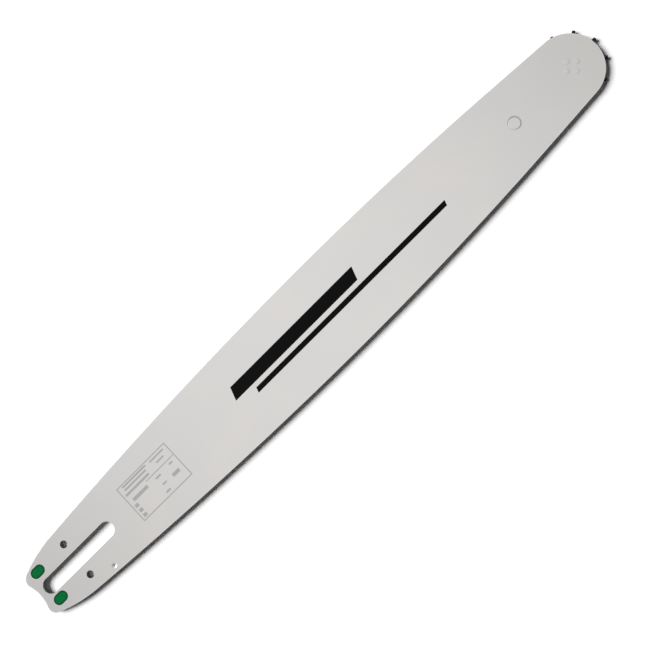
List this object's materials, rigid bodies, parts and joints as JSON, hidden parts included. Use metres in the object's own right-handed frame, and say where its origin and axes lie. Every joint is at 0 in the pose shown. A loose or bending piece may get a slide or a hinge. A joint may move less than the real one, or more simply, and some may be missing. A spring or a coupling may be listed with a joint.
{
  "type": "chainsaw guide bar",
  "caption": "Flat laminated saw-chain guide bar with a long stud slot, a chain groove round its edge and a toothed wheel on roller bearings in the nose.",
  "frame": {"origin": "centre of the stud slot, on the back face that lies on the saw or on a table", "axes": "+X along the bar to the nose, +Y across it, +Z from the back face to the front face"},
  "size_m": [0.5698, 0.0724, 0.005],
  "materials": {
    "plate_lacquer": "satin light grey lacquer",
    "core_steel": "bare rolled steel",
    "sprocket_steel": "dark hardened steel",
    "hub_steel": "ground steel",
    "roller_steel": "polished bearing steel",
    "rivet_steel": "lacquered over",
    "green_enamel": "green enamel"
  },
  "bodies": {
    "bar": {"side_plate_back": "plate_lacquer", "core_plate": "core_steel", "side_plate_front": "plate_lacquer", "bearing_hub": "hub_steel", "nose_rivet_1": "rivet_steel", "nose_rivet_2": "rivet_steel", "nose_rivet_3": "rivet_steel", "nose_rivet_4": "rivet_steel", "mark_upper": "green_enamel", "mark_lower": "green_enamel"},
    "sprocket": {"nose_sprocket": "sprocket_steel"},
    "rollers": {"bearing_roller_01": "roller_steel", "bearing_roller_02": "roller_steel", "bearing_roller_03": "roller_steel", "bearing_roller_04": "roller_steel", "bearing_roller_05": "roller_steel", "bearing_roller_06": "roller_steel", "bearing_roller_07": "roller_steel", "bearing_roller_08": "roller_steel", "bearing_roller_09": "roller_steel", "bearing_roller_10": "roller_steel", "bearing_roller_11": "roller_steel", "bearing_roller_12": "roller_steel", "bearing_roller_13": "roller_steel", "bearing_roller_14": "roller_steel", "bearing_roller_15": "roller_steel", "bearing_roller_16": "roller_steel", "bearing_roller_17": "roller_steel"}
  },
  "joints": [
    {"name": "sprocket_spin", "type": "hinge", "parent": "bar", "child": "sprocket", "pos_m": [0.501, 0, 0.00245], "axis": [0, 0, 1], "continuous": true},
    {"name": "roller_orbit", "type": "hinge", "parent": "bar", "child": "rollers", "pos_m": [0.501, 0, 0.00245], "axis": [0, 0, 1], "continuous": true}
  ],
  "couplings": [
    {"joint": "roller_orbit", "follows": "sprocket_spin", "ratio": 0.59152}
  ]
}
